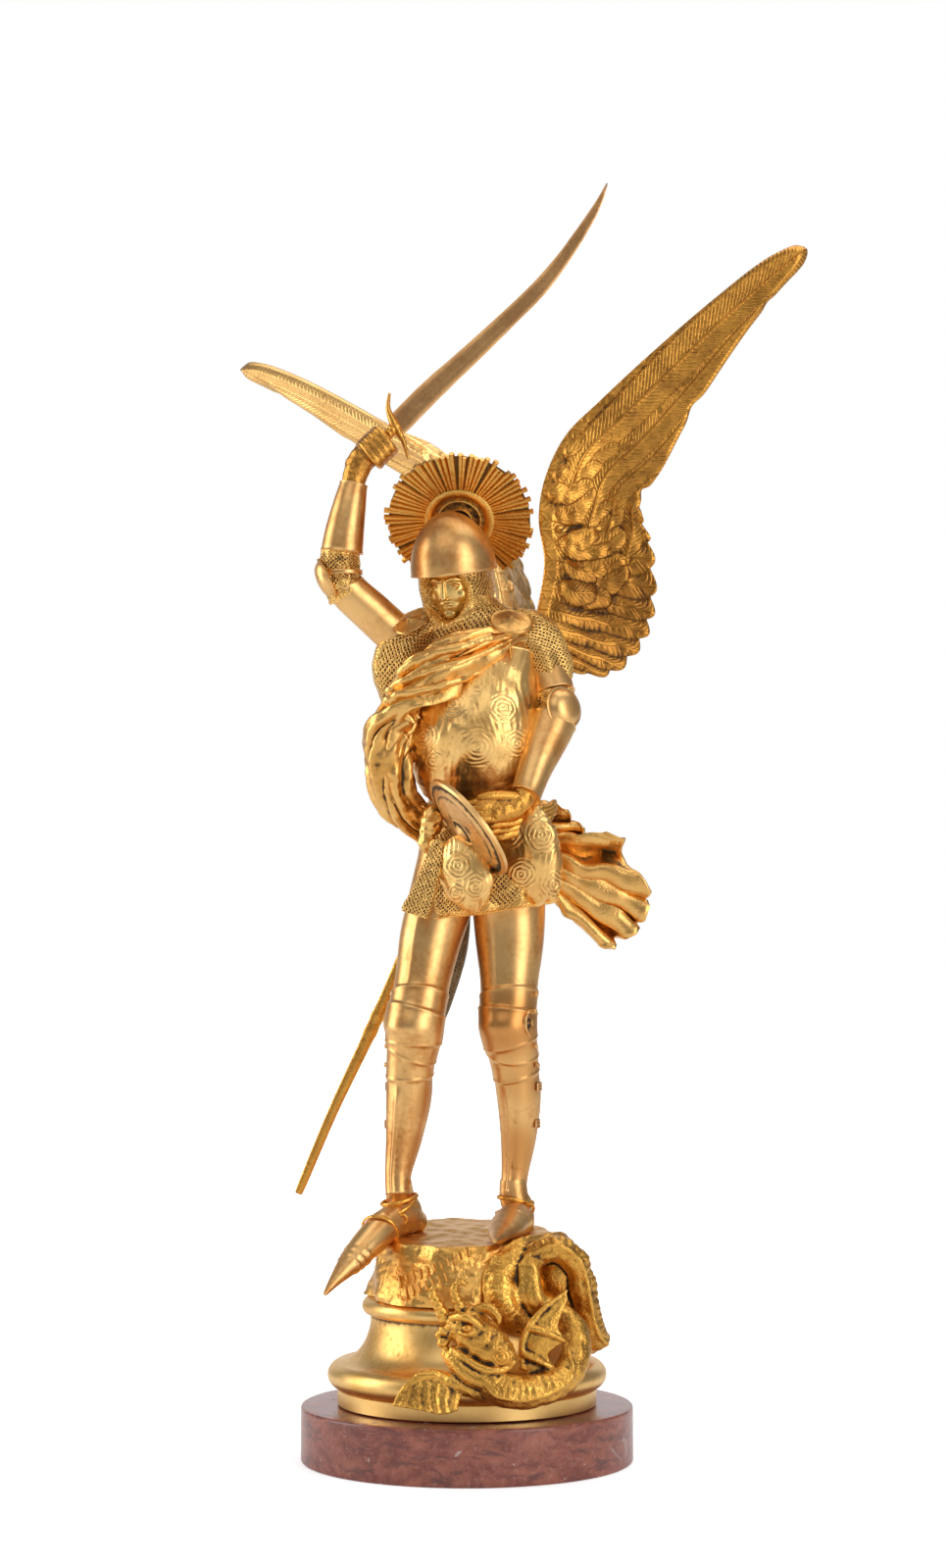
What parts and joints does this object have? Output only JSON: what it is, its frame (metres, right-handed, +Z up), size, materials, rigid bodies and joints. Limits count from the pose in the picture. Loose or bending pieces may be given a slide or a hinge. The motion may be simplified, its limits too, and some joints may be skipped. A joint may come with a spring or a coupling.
{
  "type": "archangel michael statuette",
  "caption": "Gilt bronze winged angel in plate armour, one arm raised with a curved sword, standing over a coiled dragon on a turned socle and a round marble plinth.",
  "frame": {"origin": "centre of the plinth's underside", "axes": "+Z up, -Y towards the viewer who faces the statuette, +X to that viewer's right"},
  "size_m": [0.2807, 0.2225, 0.5969],
  "materials": {
    "red_marble": "polished red-brown veined marble",
    "satin_gilt_bronze": "smooth satin gilding",
    "chased_gilt_bronze": "chased gilding with brown patina in the hollows",
    "worn_gilt_blade": "thin worn gilding over brown bronze"
  },
  "bodies": {
    "root": {"plinth": "red_marble", "socle": "satin_gilt_bronze", "dragon_mound": "chased_gilt_bronze", "figure": "chased_gilt_bronze", "wing_left": "chased_gilt_bronze", "wing_right": "chased_gilt_bronze", "halo": "chased_gilt_bronze", "sword": "worn_gilt_blade", "scabbard": "worn_gilt_blade", "shield": "satin_gilt_bronze"}
  },
  "joints": []
}
